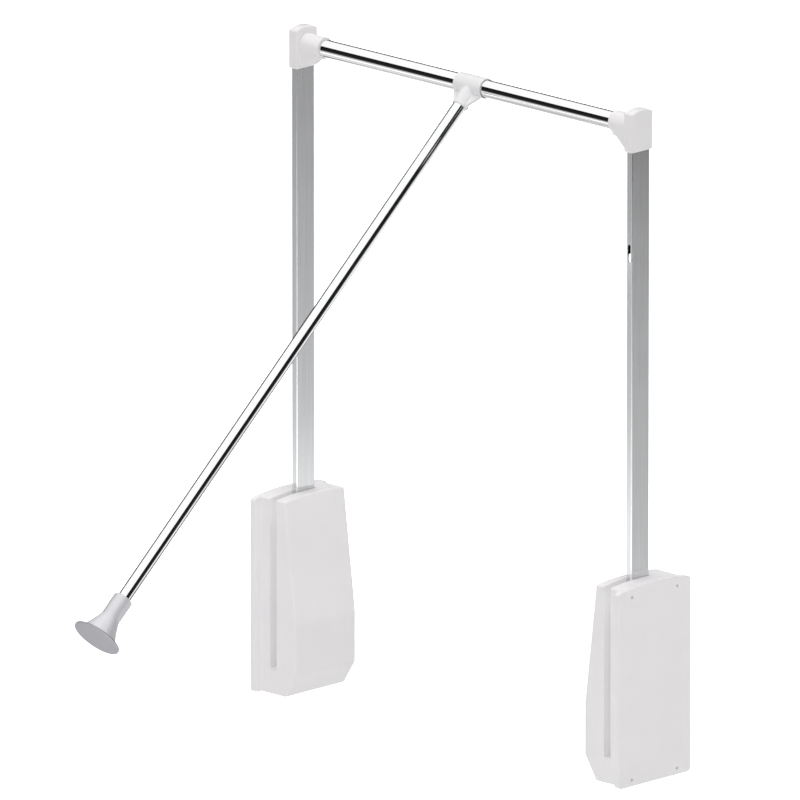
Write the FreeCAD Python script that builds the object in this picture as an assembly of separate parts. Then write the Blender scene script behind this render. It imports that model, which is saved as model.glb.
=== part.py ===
import FreeCAD, Part
import math
import os

# Pull down closet rod. Millimetres, +X from the left wardrobe wall to the right one, -Y towards the
# user, +Z up. The origin is the middle of the left base plate's wall face.

# ---- driving dimensions -------------------------------------------------------------------------
RAIL_SPAN = 650.0            # between the two wall faces, at the narrowest setting
WIDTH_TRAVEL = 180.0         # how far the telescopic rail pulls out

HOUSING_HEIGHT = 252.0       # at the front and rear edges
CROWN = 5.0                  # rise of the arched top in the middle
BASE_DEPTH = 127.0
BASE_THICKNESS = 8.75
BASE_FLOOR = 3.0
BASE_CORNER_R = 5.0
BASE_EDGE_R = 1.5

SHELL_DEPTH = 106.5
SHELL_TOP_X = 51.0           # how far the shell stands off the wall at its top and bottom
SHELL_BULGE = 19.5           # how much further it stands out beside the pivot
BULGE_CHAMFER_HEIGHT = 31.0
BULGE_FLAT_HEIGHT = 66.0
SHELL_WALL = 2.2
SHELL_EDGE_R = 2.5
SLOT_BOTTOM_HEIGHT = 34.0    # of the arm slot above the bottom of the housing
SLOT_SIDE_GAP = 0.8          # arm to slot, each side
SLOT_RAMP = 3.0
LIP_THICKNESS = 1.4          # of the slot's return walls, moulded inside the shell
LIP_DEPTH = 12.0
SNAP_WIDTH = 14.0
SNAP_THICKNESS = 1.8
SNAP_DEPTH = 4.0
SNAP_ROOT = 8.0              # how far each snap tongue runs up along the shell's wall

ARM_CENTRE_X = 30.5
ARM_THICKNESS = 10.0
ARM_WIDTH = 31.0
ARM_WALL = 1.5
ARM_EDGE_R = 1.6
PIVOT_HEIGHT = 58.0          # above the bottom of the housing
ARM_RADIUS = 777.0           # pivot axis to rail axis
ARM_RANGE_DEG = 95.0
ARM_INSERT_LENGTH = 60.0
ARM_RIVET_R = 2.5
ARM_RIVET_PITCH = 24.0
ARM_SLOT_LENGTH = 23.0
ARM_SLOT_WIDTH = 4.5
ARM_SLOT_DROP = 129.5        # below the corner cap
ARM_SIDE_HOLE_LENGTH = 13.0  # in the inner face, behind the slot's lower half
ARM_SIDE_HOLE_WIDTH = 5.6
ARM_SIDE_HOLE_INSET = 5.0    # of its middle line behind the arm's front face
ARM_SIDE_HOLE_DROP = 8.0     # of its middle below the slot's middle

CAP_THICKNESS = 15.0
CAP_DEPTH = 37.5
CAP_HEIGHT = 49.5
CAP_CROWN = 4.5
CAP_RAIL_RISE = 30.5         # rail axis above the cap's lower end
CAP_TOP_WALL = 4.0
CAP_EDGE_R = 2.5
BOSS_R = 14.0
BOSS_LENGTH = 32.0
BOSS_FLOOR = 2.5
BOSS_EDGE_R = 0.8
GUSSET_WIDTH = 26.4
GUSSET_REACH = 25.0          # along the boss
GUSSET_DROP = 0.5            # of its outer end below the boss
GUSSET_EDGE_R = 2.0
GUSSET_CURVE = ((0.28, 0.86), (0.52, 0.48), (0.72, 0.14), (1.0, 0.0))    # along the boss, down from it

RAIL_R = 11.25
RAIL_WALL = 1.2
RAIL_INNER_R = 9.25
RAIL_INNER_WALL = 1.2
RAIL_JOINT_OFFSET = 10.0     # from the middle of the T to where the two outer tubes meet
RAIL_JOINT_GAP = 1.5
RAIL_OVERLAP = 60.0          # inner tube left inside the left tube at full width
RAIL_FIXED_LENGTH = 60.0     # inner tube held inside the right tube
BUSH_LENGTH = 16.0
RAIL_RIVET_HEAD = 0.8
RAIL_RIVET_START = 0.5       # where the head starts inside the tube's skin, before it is hollowed to fit

T_LENGTH = 47.0
T_OFF_MIDDLE = 6.0           # towards the right side
T_R = 13.2
T_SOCKET_R = 10.2
T_SOCKET_REACH = 33.0        # from the rail axis
T_WEB_THICKNESS = 4.0
T_RIGHT_MOUTH_GAP = 0.9
T_FLOOR = 1.6
T_EDGE_R = 0.8
T_WEB_INSET = 1.0            # of the web from the barrel's ends
T_WEB_STEP = 3.0             # straight drop of the web below the barrel
T_SCREW_INSET = 0.3          # of the headless swivel screw below the barrel's skin
T_SCREW_RECESS_R = 0.8
ROD_SCREW_INSET = 2.0        # of the rod's screw head from the end of the T's socket

PULL_ROD_R = 8.5
PULL_ROD_WALL = 1.2
PULL_ROD_REACH = 882.0       # rail axis to the end face of the knob
PULL_ROD_BELOW_HORIZONTAL_DEG = 41.6
PULL_ROD_DOWN_DEG = 48.0     # swing down and back from the rest place
PULL_ROD_UP_DEG = 95.0

KNOB_LENGTH = 63.0
KNOB_NECK_R = 12.8
KNOB_NECK_LENGTH = 31.0
KNOB_NECK_CHAMFER = 1.0
KNOB_FLARE_R = 25.5          # where the flare meets the disc
KNOB_FLARE_CURVE = ((0.4, 0.33), (0.75, 0.69), (1.0, 1.0))    # along the flare, growth of its radius
KNOB_DISC_R = 32.3
KNOB_DISC = 2.4
KNOB_DISC_EDGE_R = 0.9
KNOB_SOCKET_DEPTH = 28.0

CHANNEL_SHEET = 1.5
CHANNEL_SIDE_GAP = 1.1       # arm to channel, each side
CHANNEL_FRONT_INSET = 14.0   # front edge of the channel behind the shell's front
CHANNEL_REAR_GAP = 2.5       # arm to the channel's back web
TAB_INSET = 14.0             # spring seat and foot tabs, from the ends of the housing
TAB_SIDE_GAP = 5.05          # tabs and carriage to the shell's side walls
FOOT_HEIGHT = 8.5
FOOT_SCREW_Y = 16.0
BUFFER_LENGTH = 24.0
BUFFER_WIDTH = 7.0
BUFFER_GAP = 0.3

AXLE_R = 5.0
AXLE_FLATS = 8.0
BUSH_R = 6.5
BUSH_FLANGE_R = 8.5
BUSH_FLANGE = 1.0
GEAR_MODULE = 2.0
GEAR_TEETH = 20
GEAR_WIDTH = 8.0
GEAR_FLOOR_GAP = 6.5         # gear to the base plate's floor
GEAR_BACKLASH = 0.3
PRESSURE_ANGLE = math.radians(20.0)
RACK_BACK = 10.0             # rack's back behind its pitch line
RACK_TEETH_UP = 1
RACK_TEETH_DOWN = 6
RACK_FOOT = 0.3              # of the rack below its last tooth
CARRIAGE_DEPTH_X = 14.5
CARRIAGE_HEIGHT = 8.0
CARRIAGE_GEAR_GAP = 4.0
SPRING_INSET = 8.0           # springs from the tabs' ends
SPRING_WIRE_R = 1.1
SPRING_MEAN_R = 6.8
SPRING_TURNS = 18
SPRING_SIDE_GAP = 2.3        # spring to the base plate's floor
GUIDE_R = 3.0
GUIDE_HEAD_RIM = 1.5         # of the head round the guide rod
GUIDE_HEAD = 1.6

DAMPER_R = 22.0
DAMPER_WALL = 4.0
DAMPER_FLOOR = 3.2
DAMPER_LENGTH = 14.0
DAMPER_LID = 2.0
DAMPER_ROTOR_R = 8.0
DAMPER_VANE = 4.0
DAMPER_EAR_R = 5.0
DAMPER_EAR_OFFSET = 26.0
RING_THICKNESS = 1.2
RING_R = 8.0
AXLE_END = 1.5               # of the axle beyond each ring

WALL_HOLE_R = 2.2
WALL_HOLE_INSET = 6.0        # from the tabs' ends
FOOT_SCREW_DEPTH = 2.0       # into the base plate's floor
FOOT_RECESS_GAP = 0.5        # round the channel's feet in the base plate
SCREW_R = 1.6
SCREW_HEAD_R = 3.4
SCREW_HEAD = 1.8
SCREW_END = 1.5              # how far a screw runs on into a tube's bore

# ---- clearances ---------------------------------------------------------------------------------
FIXED_FIT = 0.1              # pieces of one body that fit into each other
RUNNING_FIT = 0.06           # shafts and slides that turn or run in their seats
MOVING_GAP = 0.3             # between moving pieces that never touch
THROUGH = 1.0                # how far a cutter runs past what it cuts

# ---- places worked out from them ----------------------------------------------------------------
HOUSING_BOTTOM = -HOUSING_HEIGHT / 2.0
HOUSING_TOP = HOUSING_HEIGHT / 2.0
TONGUE_Y = SHELL_DEPTH / 2.0 - SHELL_WALL + FIXED_FIT
BASE_RIM = BASE_DEPTH / 2.0 - TONGUE_Y - FIXED_FIT
CROWN_R = (BASE_DEPTH ** 2 / 4.0 + CROWN ** 2) / (2.0 * CROWN)
CROWN_CENTRE_Z = HOUSING_TOP + CROWN - CROWN_R
PIVOT_Z = HOUSING_BOTTOM + PIVOT_HEIGHT
RAIL_Z = PIVOT_Z + ARM_RADIUS
CAP_BOTTOM = RAIL_Z - CAP_RAIL_RISE
ARM_X0 = ARM_CENTRE_X - ARM_THICKNESS / 2.0
ARM_X1 = ARM_CENTRE_X + ARM_THICKNESS / 2.0
SLOT_X0 = ARM_X0 - SLOT_SIDE_GAP
SLOT_X1 = ARM_X1 + SLOT_SIDE_GAP
SLOT_BOTTOM = HOUSING_BOTTOM + SLOT_BOTTOM_HEIGHT
TAB_HALF_DEPTH = SHELL_DEPTH / 2.0 - SHELL_WALL - TAB_SIDE_GAP
SPRING_Y = TAB_HALF_DEPTH - SPRING_INSET
WALL_HOLE_Y = TAB_HALF_DEPTH - WALL_HOLE_INSET
CHEEK_A1 = ARM_X0 - CHANNEL_SIDE_GAP
CHEEK_A0 = CHEEK_A1 - CHANNEL_SHEET
CHEEK_B0 = ARM_X1 + CHANNEL_SIDE_GAP
CHEEK_B1 = CHEEK_B0 + CHANNEL_SHEET
CHANNEL_FRONT = -SHELL_DEPTH / 2.0 + CHANNEL_FRONT_INSET
WEB_Y = ARM_WIDTH / 2.0 + CHANNEL_REAR_GAP
SLOT_REAR = WEB_Y - FIXED_FIT
TAB_TOP_Z = HOUSING_TOP - TAB_INSET
TAB_BOTTOM_Z = HOUSING_BOTTOM + TAB_INSET
PITCH_R = GEAR_MODULE * GEAR_TEETH / 2.0
GEAR_X0 = BASE_FLOOR + GEAR_FLOOR_GAP
GEAR_X1 = GEAR_X0 + GEAR_WIDTH
CARRIAGE_BOTTOM = PIVOT_Z + PITCH_R + GEAR_MODULE + CARRIAGE_GEAR_GAP
CARRIAGE_TOP = CARRIAGE_BOTTOM + CARRIAGE_HEIGHT
SPRING_X = BASE_FLOOR + SPRING_SIDE_GAP + SPRING_MEAN_R + SPRING_WIRE_R
DAMPER_X0 = CHEEK_B1
DAMPER_X1 = DAMPER_X0 + DAMPER_FLOOR + DAMPER_LENGTH
AXLE_X0 = GEAR_X0 - RING_THICKNESS - MOVING_GAP - AXLE_END
AXLE_X1 = DAMPER_X1 + DAMPER_LID + MOVING_GAP + RING_THICKNESS + AXLE_END
T_CENTRE_X = RAIL_SPAN / 2.0 + T_OFF_MIDDLE
RAIL_JOINT_X = T_CENTRE_X + RAIL_JOINT_OFFSET
CAP_INNER_X = ARM_CENTRE_X + CAP_THICKNESS / 2.0
BOSS_END_X = CAP_INNER_X + BOSS_LENGTH
RAIL_BORE_R = RAIL_R - RAIL_WALL
KNOB_START = PULL_ROD_REACH - KNOB_LENGTH

V = FreeCAD.Vector
X_AXIS = V(1, 0, 0)


# ---- small helpers ------------------------------------------------------------------------------
def box(x, y, z):
    """Block between the pairs x, y and z."""
    return Part.makeBox(x[1] - x[0], y[1] - y[0], z[1] - z[0], V(x[0], y[0], z[0]))


def bar(radius, start, end):
    """Round bar from start to end."""
    return Part.makeCylinder(radius, (end - start).Length, start, end - start)


def x_bar(radius, x0, x1, y=0.0, z=0.0):
    """Round bar along X."""
    return bar(radius, V(x0, y, z), V(x1, y, z))


def plate_x(points, x0, x1):
    """Flat plate with the outline of (y, z) points, from x0 to x1."""
    wire = Part.makePolygon([V(x0, y, z) for y, z in points + points[:1]])
    return Part.Face(wire).extrude(V(x1 - x0, 0, 0))


def plate_y(points, y0, y1):
    """Flat plate with the outline of (x, z) points, from y0 to y1."""
    wire = Part.makePolygon([V(x, y0, z) for x, z in points + points[:1]])
    return Part.Face(wire).extrude(V(0, y1 - y0, 0))


def join(*shapes):
    """One clean solid out of overlapping ones."""
    return shapes[0].fuse(list(shapes[1:])).removeSplitter()


def edges_where(shape, test):
    """Edges of a shape whose bounding box passes the test."""
    return [edge for edge in shape.Edges if test(edge.BoundBox)]


def double_d(radius, flats, x0, x1, y=0.0, z=0.0):
    """Round bar along X with two flats, as a keyed shaft or its bore."""
    block = box((x0, x1), (y - radius, y + radius), (z - flats / 2.0, z + flats / 2.0))
    return x_bar(radius, x0, x1, y, z).common(block)


def screw_x(x_tip, x_seat, y, z):
    """Round-headed screw along X, its head beyond x_seat."""
    side = math.copysign(1.0, x_seat - x_tip)
    shank = x_bar(SCREW_R, x_tip, x_seat, y, z)
    head = x_bar(SCREW_HEAD_R, x_seat, x_seat + side * SCREW_HEAD, y, z)
    recess_floor = x_seat + side * SCREW_HEAD * 0.4
    recess = x_bar(SCREW_R * 0.7, recess_floor, recess_floor + side * SCREW_HEAD, y, z)
    return join(shank, head).cut(recess)


def screw_y(y_tip, y_seat, x, z):
    """The same screw along Y."""
    turned = screw_x(y_tip, y_seat, 0.0, 0.0)
    turned.rotate(V(0, 0, 0), V(0, 0, 1), 90.0)
    turned.translate(V(x, 0, z))
    return turned


# ---- housing ------------------------------------------------------------------------------------
def housing_block(x0, x1, depth, inset=0.0):
    """Housing outline seen from the side, with its arched top, as a block from x0 to x1."""
    half = depth / 2.0 - inset
    low = HOUSING_BOTTOM + inset
    radius = CROWN_R - inset
    side_z = CROWN_CENTRE_Z + math.sqrt(radius ** 2 - half ** 2)
    corners = [V(x0, -half, side_z), V(x0, -half, low), V(x0, half, low), V(x0, half, side_z)]
    middle = V(x0, 0, CROWN_CENTRE_Z + radius)
    arch = Part.Arc(corners[3], middle, corners[0]).toShape()
    lines = [Part.makeLine(corners[i], corners[i + 1]) for i in range(3)]
    return Part.Face(Part.Wire(lines + [arch])).extrude(V(x1 - x0, 0, 0))


def base_plate():
    """Moulded tray that lies on the wall: floor, thick rim, recesses for the feet and four wall holes."""
    tray = housing_block(0.0, BASE_THICKNESS, BASE_DEPTH)
    along_x = edges_where(tray, lambda b: b.XLength > BASE_THICKNESS * 0.9)
    tray = tray.makeFillet(BASE_CORNER_R, along_x)
    rim = edges_where(tray, lambda b: b.XMin > BASE_THICKNESS - 0.01)
    tray = tray.makeFillet(BASE_EDGE_R, rim)
    tray = tray.cut(housing_block(BASE_FLOOR, BASE_THICKNESS + THROUGH, BASE_DEPTH, BASE_RIM))
    recess_y = TAB_HALF_DEPTH + FOOT_RECESS_GAP
    recess_low = TAB_BOTTOM_Z - CHANNEL_SHEET - FOOT_HEIGHT - FOOT_RECESS_GAP
    recess_high = TAB_TOP_Z + CHANNEL_SHEET + FOOT_HEIGHT + FOOT_RECESS_GAP
    tray = tray.cut(box((BASE_FLOOR, BASE_THICKNESS + THROUGH), (-recess_y, recess_y),
                        (recess_low, recess_high)))
    for y, z in wall_screw_places():
        tray = tray.cut(x_bar(WALL_HOLE_R, -THROUGH, BASE_FLOOR + THROUGH, y, z))
    for y, z in foot_screw_places():
        tray = tray.cut(x_bar(SCREW_R, BASE_FLOOR - FOOT_SCREW_DEPTH, BASE_FLOOR + THROUGH, y, z))
    return tray


def shell_profile(inset):
    """Shell outline seen from the front, as (x, z) points; inset by the wall for the inside."""
    top_z = HOUSING_TOP + CROWN + THROUGH
    taper_height = HOUSING_HEIGHT - BULGE_CHAMFER_HEIGHT - BULGE_FLAT_HEIGHT
    lean = SHELL_BULGE / taper_height
    slope = SHELL_BULGE / BULGE_CHAMFER_HEIGHT
    flat_low = HOUSING_BOTTOM + BULGE_CHAMFER_HEIGHT
    flat_high = flat_low + BULGE_FLAT_HEIGHT
    far_x = SHELL_TOP_X + SHELL_BULGE - inset
    low_shift = inset * (math.sqrt(1.0 + slope ** 2) - 1.0) / slope
    high_shift = inset * (math.sqrt(1.0 + lean ** 2) - 1.0) / lean
    foot_z = HOUSING_BOTTOM - THROUGH
    foot_x = far_x - (flat_low + low_shift - foot_z) * slope
    head_x = far_x - (top_z - flat_high + high_shift) * lean
    return [(0.0, foot_z), (foot_x, foot_z), (far_x, flat_low + low_shift),
            (far_x, flat_high - high_shift), (head_x, top_z), (0.0, top_z)]


def shell_form(x0, inset):
    """Solid form of the shell, or of the room inside it."""
    block = housing_block(x0, SHELL_TOP_X + SHELL_BULGE + THROUGH, SHELL_DEPTH, inset)
    return block.common(plate_y(shell_profile(inset), -SHELL_DEPTH, SHELL_DEPTH))


def slot_lips(outer):
    """Walls that turn inwards round the arm slot, kept inside the shell's outer form."""
    across = (SLOT_X0 - LIP_THICKNESS, SLOT_X1 + LIP_THICKNESS)
    front = -SHELL_DEPTH / 2.0
    top = HOUSING_TOP + CROWN
    upright = box(across, (front, front + LIP_DEPTH), (SLOT_BOTTOM - LIP_THICKNESS, top))
    above = box(across, (front, SLOT_REAR + LIP_THICKNESS), (TAB_TOP_Z + 2.0 * CHANNEL_SHEET + THROUGH, top))
    return join(upright, above).common(outer)


def snap_tongue(side, z):
    """Tongue inside the shell's wall that reaches into the base plate's rim."""
    near = side * TONGUE_Y
    far = side * (TONGUE_Y - SNAP_THICKNESS)
    return box((BASE_THICKNESS - SNAP_DEPTH, BASE_THICKNESS + SNAP_ROOT), (min(near, far), max(near, far)),
               (z - SNAP_WIDTH / 2.0, z + SNAP_WIDTH / 2.0))


def housing_shell():
    """Bulged outer shell, open to the wall, with the lipped arm slot and four snap tongues."""
    outer = shell_form(BASE_THICKNESS, 0.0)
    rounded = edges_where(outer, lambda b: b.XMax > BASE_THICKNESS + 0.01)
    outer = outer.makeFillet(SHELL_EDGE_R, rounded)
    shell = outer.cut(shell_form(BASE_THICKNESS - THROUGH, SHELL_WALL))
    shell = join(shell, slot_lips(outer))
    slot = box((SLOT_X0, SLOT_X1), (-SHELL_DEPTH, SLOT_REAR), (SLOT_BOTTOM, HOUSING_TOP + CROWN + THROUGH))
    front = -SHELL_DEPTH / 2.0
    ramp_points = [(front, SLOT_BOTTOM), (front - THROUGH, SLOT_BOTTOM - SLOT_RAMP),
                   (front + SHELL_WALL, SLOT_BOTTOM + FIXED_FIT)]
    shell = shell.cut(join(slot, plate_x(ramp_points, SLOT_X0, SLOT_X1)))
    heights = (HOUSING_BOTTOM / 2.0, HOUSING_TOP / 2.0)
    tongues = [snap_tongue(side, z) for side in (-1.0, 1.0) for z in heights]
    return join(shell, *tongues)


def foot_places(half_spacing):
    """Middle heights of the channel's feet, at both sides of the middle, as (y, z)."""
    offset = CHANNEL_SHEET + FOOT_HEIGHT / 2.0
    return [(y, z) for y in (-half_spacing, half_spacing)
            for z in (TAB_BOTTOM_Z - offset, TAB_TOP_Z + offset)]


def foot_screw_places():
    """Where the channel's feet are screwed to the base plate."""
    return foot_places(FOOT_SCREW_Y)


def wall_screw_places():
    """Where the wall screws go through the feet and the base plate."""
    return foot_places(WALL_HOLE_Y)


def chassis_channel():
    """Folded steel channel round the arm, with a tab and foot at each end and a stop bridge."""
    low, high = TAB_BOTTOM_Z - CHANNEL_SHEET, TAB_TOP_Z + CHANNEL_SHEET
    cheek_a = box((CHEEK_A0, CHEEK_A1), (CHANNEL_FRONT, WEB_Y + CHANNEL_SHEET), (low, high))
    cheek_b = box((CHEEK_B0, CHEEK_B1), (CHANNEL_FRONT, WEB_Y + CHANNEL_SHEET), (low, high))
    web = box((CHEEK_A0, CHEEK_B1), (WEB_Y, WEB_Y + CHANNEL_SHEET), (low, high))
    bridge = box((CHEEK_A0, CHEEK_B1), (CHANNEL_FRONT, CHANNEL_FRONT + BUFFER_LENGTH),
                 (SLOT_BOTTOM - CHANNEL_SHEET, SLOT_BOTTOM))
    pieces = [cheek_b, web, bridge]
    for tab_z, foot_z in ((low, (low - FOOT_HEIGHT, low)), (TAB_TOP_Z, (high, high + FOOT_HEIGHT))):
        pieces.append(box((BASE_FLOOR, CHEEK_A0), (-TAB_HALF_DEPTH, TAB_HALF_DEPTH),
                          (tab_z, tab_z + CHANNEL_SHEET)))
        pieces.append(box((BASE_FLOOR, BASE_FLOOR + CHANNEL_SHEET), (-TAB_HALF_DEPTH, TAB_HALF_DEPTH),
                          foot_z))
    channel = join(cheek_a, *pieces)
    channel = channel.cut(x_bar(BUSH_R, CHEEK_A0 - THROUGH, CHEEK_B1 + THROUGH, 0.0, PIVOT_Z))
    foot_x = (BASE_FLOOR - THROUGH, BASE_FLOOR + CHANNEL_SHEET + THROUGH)
    for radius, places in ((SCREW_R, foot_screw_places()), (WALL_HOLE_R, wall_screw_places())):
        for y, z in places:
            channel = channel.cut(x_bar(radius, foot_x[0], foot_x[1], y, z))
    for z in damper_ear_heights():
        channel = channel.cut(x_bar(SCREW_R, CHEEK_B0 - THROUGH, CHEEK_B1 + THROUGH, 0.0, z))
    for y in (-SPRING_Y, SPRING_Y):
        channel = channel.cut(bar(GUIDE_R, V(SPRING_X, y, TAB_TOP_Z - THROUGH),
                                  V(SPRING_X, y, high + THROUGH)))
    return channel


def chassis_screws():
    """Four screws that hold the channel's feet to the base plate."""
    seat = BASE_FLOOR + CHANNEL_SHEET
    return Part.makeCompound([screw_x(BASE_FLOOR - FOOT_SCREW_DEPTH, seat, y, z)
                               for y, z in foot_screw_places()])


def pivot_bushes():
    """Two flanged bushes in the channel's cheeks."""
    reach = CHANNEL_SIDE_GAP - MOVING_GAP
    bushes = []
    for sleeve, flange in (((CHEEK_A0, CHEEK_A1 + reach), (CHEEK_A0 - BUSH_FLANGE, CHEEK_A0)),
                           ((CHEEK_B0 - reach, CHEEK_B1), (CHEEK_B1, CHEEK_B1 + BUSH_FLANGE))):
        bush = join(x_bar(BUSH_R, sleeve[0], sleeve[1], 0.0, PIVOT_Z),
                    x_bar(BUSH_FLANGE_R, flange[0], flange[1], 0.0, PIVOT_Z))
        bushes.append(bush.cut(x_bar(AXLE_R + RUNNING_FIT, 0.0, DAMPER_X1, 0.0, PIVOT_Z)))
    return Part.makeCompound(bushes)


def stop_buffers():
    """Rubber stops: one on the channel's web for the upright arm, one on the bridge for the lowered arm."""
    half = BUFFER_WIDTH / 2.0
    across = (ARM_CENTRE_X - half, ARM_CENTRE_X + half)
    upper = box(across, (ARM_WIDTH / 2.0 + BUFFER_GAP, WEB_Y), (TAB_TOP_Z - BUFFER_LENGTH, TAB_TOP_Z))
    tilt = math.radians(ARM_RANGE_DEG - 90.0)
    y0, y1 = CHANNEL_FRONT, CHANNEL_FRONT + BUFFER_LENGTH

    def top(y):
        """Height of the lowered arm's underside at y."""
        return PIVOT_Z - ARM_WIDTH / 2.0 / math.cos(tilt) + y * math.tan(tilt)

    outline = [(y0, SLOT_BOTTOM), (y1, SLOT_BOTTOM), (y1, top(y1) - BUFFER_GAP), (y0, top(y0) - BUFFER_GAP)]
    lower = plate_x(outline, across[0], across[1])
    return Part.makeCompound([upper, lower])


def spring_guides():
    """Two guide rods hung from the upper tab."""
    low = CARRIAGE_BOTTOM - GUIDE_R
    rods = []
    for y in (-SPRING_Y, SPRING_Y):
        shaft = bar(GUIDE_R, V(SPRING_X, y, low), V(SPRING_X, y, TAB_TOP_Z + CHANNEL_SHEET))
        head = bar(GUIDE_R + GUIDE_HEAD_RIM, V(SPRING_X, y, TAB_TOP_Z + CHANNEL_SHEET),
                   V(SPRING_X, y, TAB_TOP_Z + CHANNEL_SHEET + GUIDE_HEAD))
        rods.append(join(shaft, head))
    return Part.makeCompound(rods)


def return_springs():
    """Two compression springs between the carriage and the upper tab."""
    low = CARRIAGE_TOP + SPRING_WIRE_R
    height = TAB_TOP_Z - SPRING_WIRE_R - low
    springs = []
    for y in (-SPRING_Y, SPRING_Y):
        path = Part.makeHelix(height / SPRING_TURNS, height, SPRING_MEAN_R)
        section = Part.Wire(Part.makeCircle(SPRING_WIRE_R, V(SPRING_MEAN_R, 0, 0), V(0, 1, 0)))
        spring = Part.Wire(path.Edges).makePipeShell([section], True, True)
        spring.translate(V(SPRING_X, y, low))
        springs.append(spring)
    return Part.makeCompound(springs)


# ---- mechanism that moves -----------------------------------------------------------------------
def gear_outline():
    """Involute gear outline about the origin, a tooth space pointing at +Y, as (y, z) points."""
    base_r = PITCH_R * math.cos(PRESSURE_ANGLE)
    root_r = PITCH_R - 1.25 * GEAR_MODULE
    tip_r = PITCH_R + GEAR_MODULE
    half_at_pitch = (math.pi * GEAR_MODULE - GEAR_BACKLASH) / (4.0 * PITCH_R)

    def involute(radius):
        angle = math.acos(min(1.0, base_r / radius))
        return math.tan(angle) - angle

    def half_angle(radius):
        return half_at_pitch + involute(PITCH_R) - involute(max(radius, base_r))

    flank = [root_r] + [base_r + (tip_r - base_r) * i / 5.0 for i in range(6)]
    points = []
    for tooth in range(GEAR_TEETH):
        centre = (tooth + 0.5) * 2.0 * math.pi / GEAR_TEETH
        sides = [(r, centre - half_angle(r)) for r in flank]
        sides += [(r, centre + half_angle(r)) for r in reversed(flank)]
        points += [(r * math.cos(a), r * math.sin(a)) for r, a in sides]
    return points


def drive_gear():
    """Gear keyed on the axle, with a hub that reaches the bush."""
    outline = [(y, z + PIVOT_Z) for y, z in gear_outline()]
    gear = plate_x(outline, GEAR_X0, GEAR_X1)
    hub_end = CHEEK_A0 - BUSH_FLANGE - MOVING_GAP
    gear = join(gear, x_bar(BUSH_FLANGE_R, GEAR_X1 - THROUGH, hub_end, 0.0, PIVOT_Z))
    bore = double_d(AXLE_R + FIXED_FIT, AXLE_FLATS + 2.0 * FIXED_FIT, GEAR_X0 - THROUGH,
                    hub_end + THROUGH, 0.0, PIVOT_Z)
    return gear.cut(bore)


def rack_carriage():
    """Spring carriage with its toothed leg behind the gear."""
    pitch = math.pi * GEAR_MODULE
    half = (pitch / 2.0 - GEAR_BACKLASH / 2.0) / 2.0
    slope = math.tan(PRESSURE_ANGLE)
    tip_half = half - GEAR_MODULE * slope
    root_half = half + 1.25 * GEAR_MODULE * slope
    tip_y = PITCH_R - GEAR_MODULE
    root_y = PITCH_R + 1.25 * GEAR_MODULE
    back_y = PITCH_R + RACK_BACK
    points = [(back_y, CARRIAGE_BOTTOM + THROUGH), (root_y, CARRIAGE_BOTTOM + THROUGH)]
    for tooth in range(RACK_TEETH_UP, -RACK_TEETH_DOWN - 1, -1):
        z = PIVOT_Z + tooth * pitch
        points += [(root_y, z + root_half), (tip_y, z + tip_half), (tip_y, z - tip_half),
                   (root_y, z - root_half)]
    end_z = PIVOT_Z - RACK_TEETH_DOWN * pitch - root_half - RACK_FOOT
    points += [(root_y, end_z), (back_y, end_z)]
    leg = plate_x(points, GEAR_X0, GEAR_X1)
    middle = SPRING_X
    beam = box((middle - CARRIAGE_DEPTH_X / 2.0, middle + CARRIAGE_DEPTH_X / 2.0),
               (-TAB_HALF_DEPTH, TAB_HALF_DEPTH), (CARRIAGE_BOTTOM, CARRIAGE_TOP))
    carriage = join(beam, leg)
    for y in (-SPRING_Y, SPRING_Y):
        carriage = carriage.cut(bar(GUIDE_R + MOVING_GAP, V(SPRING_X, y, CARRIAGE_BOTTOM - THROUGH),
                                    V(SPRING_X, y, CARRIAGE_TOP + THROUGH)))
    return carriage


def pivot_axle():
    """Keyed axle from the gear through the arm to the damper."""
    axle = double_d(AXLE_R, AXLE_FLATS, AXLE_X0, AXLE_X1, 0.0, PIVOT_Z)
    for x in ring_places():
        groove = x_bar(AXLE_R + THROUGH, x, x + RING_THICKNESS, 0.0, PIVOT_Z)
        groove = groove.cut(x_bar(AXLE_R - 1.0, x, x + RING_THICKNESS, 0.0, PIVOT_Z))
        axle = axle.cut(groove)
    return axle


def ring_places():
    """Where the two retaining rings sit on the axle."""
    return (GEAR_X0 - MOVING_GAP - RING_THICKNESS, DAMPER_X1 + DAMPER_LID + MOVING_GAP)


def axle_rings():
    """Two retaining rings, open at one side."""
    rings = []
    for x in ring_places():
        ring = x_bar(RING_R, x, x + RING_THICKNESS, 0.0, PIVOT_Z)
        ring = ring.cut(x_bar(AXLE_R - 1.0 + FIXED_FIT / 2.0, x - THROUGH, x + RING_THICKNESS + THROUGH, 0.0,
                              PIVOT_Z))
        mouth = box((x - THROUGH, x + RING_THICKNESS + THROUGH), (-AXLE_R * 0.6, AXLE_R * 0.6),
                    (PIVOT_Z - RING_R - THROUGH, PIVOT_Z))
        rings.append(ring.cut(mouth))
    return Part.makeCompound(rings)


def damper_ear_heights():
    """Heights of the damper's two fixing ears."""
    return (PIVOT_Z - DAMPER_EAR_OFFSET, PIVOT_Z + DAMPER_EAR_OFFSET)


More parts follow.
